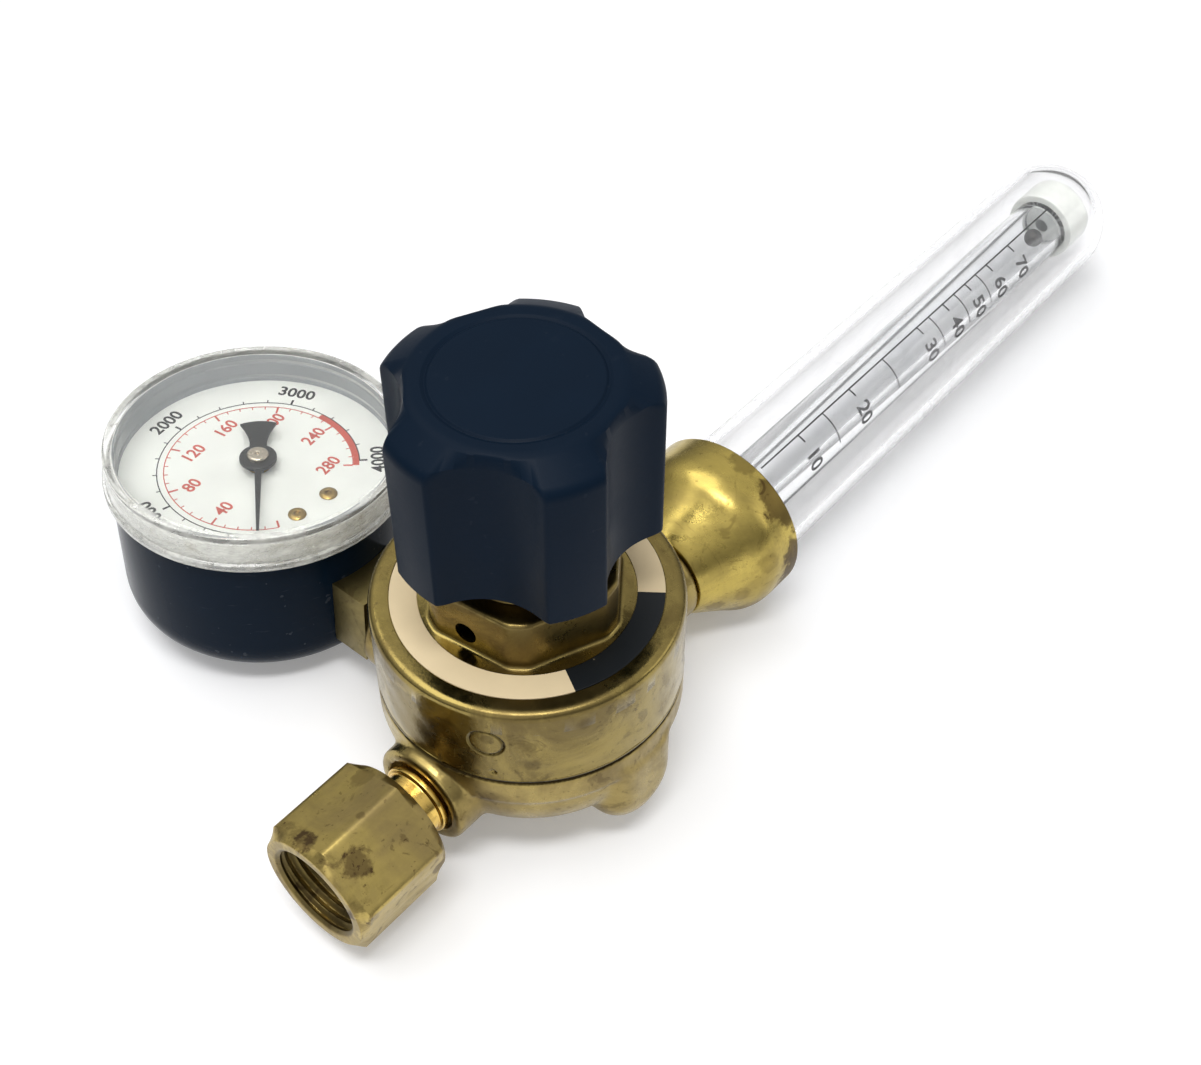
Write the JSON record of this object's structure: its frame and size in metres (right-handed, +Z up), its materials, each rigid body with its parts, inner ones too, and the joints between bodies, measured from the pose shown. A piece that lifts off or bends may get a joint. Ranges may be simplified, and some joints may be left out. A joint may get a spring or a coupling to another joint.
{
  "type": "gas flow regulator",
  "caption": "Brass gas regulator with a fluted adjusting knob, a round contents gauge, a hexagon inlet nut and a clear flow tube that holds a float ball.",
  "frame": {"origin": "centre of the round rest face under the body, on the knob's axis", "axes": "+Z up along the knob's axis, +X along the flow tube to its closed end, +Y towards the contents gauge"},
  "size_m": [0.2522, 0.1265, 0.0946],
  "materials": {
    "body": "as cast, tarnished",
    "bonnet": "forged, dull",
    "brass": "machined",
    "bright_brass": "turned, bright",
    "nut": "machined, stained",
    "cup": "machined, stained",
    "socket": "machined, dull",
    "bronze": "drawn",
    "steel": "plated",
    "spring_steel": "drawn wire",
    "rubber": "moulded",
    "slip_plastic": "sheet",
    "filter": "sintered",
    "label": "printed film",
    "knob": "moulded",
    "clear_cover": "clear plastic",
    "clear_tube": "clear plastic",
    "lens": "clear plastic",
    "ball": "polished",
    "pale_plastic": "moulded, translucent",
    "gauge_black": "black paint",
    "dial": "white, printed scale",
    "spacer": "moulded",
    "pointer": "black paint"
  },
  "bodies": {
    "frame": {"body": "body", "nozzle": "brass", "poppet_spring": "spring_steel", "diaphragm": "rubber", "slip_ring": "slip_plastic", "range_spring": "spring_steel", "bonnet": "bonnet", "label_ring": "label", "inlet_nipple": "bright_brass", "inlet_filter": "filter", "flow_cup": "cup", "cover_seal": "rubber", "cover_tube": "clear_cover", "metering_tube": "clear_tube", "bottom_stop": "steel", "top_cap": "pale_plastic", "outlet_fitting": "brass", "bourdon_tube": "bronze", "gauge_socket": "socket", "gauge_case": "gauge_black", "relief_plug": "rubber", "gauge_lens": "lens", "gauge_dial": "dial", "gauge_spacer": "spacer", "dial_posts": "bright_brass", "movement_frame": "bright_brass", "tip_link": "steel"},
    "button": {"spring_button": "steel"},
    "adjuster": {"knob": "knob", "adjusting_screw": "steel"},
    "plate": {"spring_plate": "steel", "foot_plate": "brass"},
    "valve": {"poppet": "brass"},
    "nut": {"inlet_nut": "nut"},
    "pointer": {"gauge_pointer": "pointer", "pointer_cap": "bright_brass", "pointer_spindle": "steel"},
    "sector": {"sector_gear": "bright_brass"},
    "ball": {"float_ball": "ball"}
  },
  "joints": [
    {"name": "screw_travel", "type": "slide", "parent": "frame", "child": "button", "axis": [0, 0, -1], "range_m": [0, 0.0045], "deforming": ["range_spring"]},
    {"name": "knob_turn", "type": "hinge", "parent": "button", "child": "adjuster", "pos_m": [0, 0, 0.08], "axis": [0, 0, -1], "range_deg": [0, 1080]},
    {"name": "diaphragm_lift", "type": "slide", "parent": "frame", "child": "plate", "axis": [0, 0, -1], "range_m": [0, 0.0008], "stiffness_N_per_m": 2000, "springref_m": -0.0002, "deforming": ["diaphragm"]},
    {"name": "valve_lift", "type": "slide", "parent": "frame", "child": "valve", "axis": [0, 0, -1], "range_m": [0, 0.0008], "deforming": ["poppet_spring"]},
    {"name": "nut_spin", "type": "hinge", "parent": "frame", "child": "nut", "pos_m": [-0.045, 0, 0.0166], "axis": [-1, 0, 0], "continuous": true},
    {"name": "pointer_turn", "type": "hinge", "parent": "frame", "child": "pointer", "pos_m": [-0.00154, 0.0692, 0.03334], "axis": [0.0872, 0, 0.9962], "range_deg": [-285, 0], "stiffness_Nm_per_rad": 0.00001},
    {"name": "sector_turn", "type": "hinge", "parent": "frame", "child": "sector", "pos_m": [-0.00801, 0.07505, 0.02647], "axis": [0.0872, 0, 0.9962], "range_deg": [0, 36]},
    {"name": "ball_rise", "type": "slide", "parent": "frame", "child": "ball", "axis": [-0.9999, 0, 0.0133], "range_m": [0, 0.112]}
  ],
  "couplings": [
    {"joint": "screw_travel", "follows": "knob_turn", "m_per_rad": 0.0002387},
    {"joint": "valve_lift", "follows": "diaphragm_lift", "ratio": 1},
    {"joint": "sector_turn", "follows": "pointer_turn", "ratio": -0.1233}
  ]
}
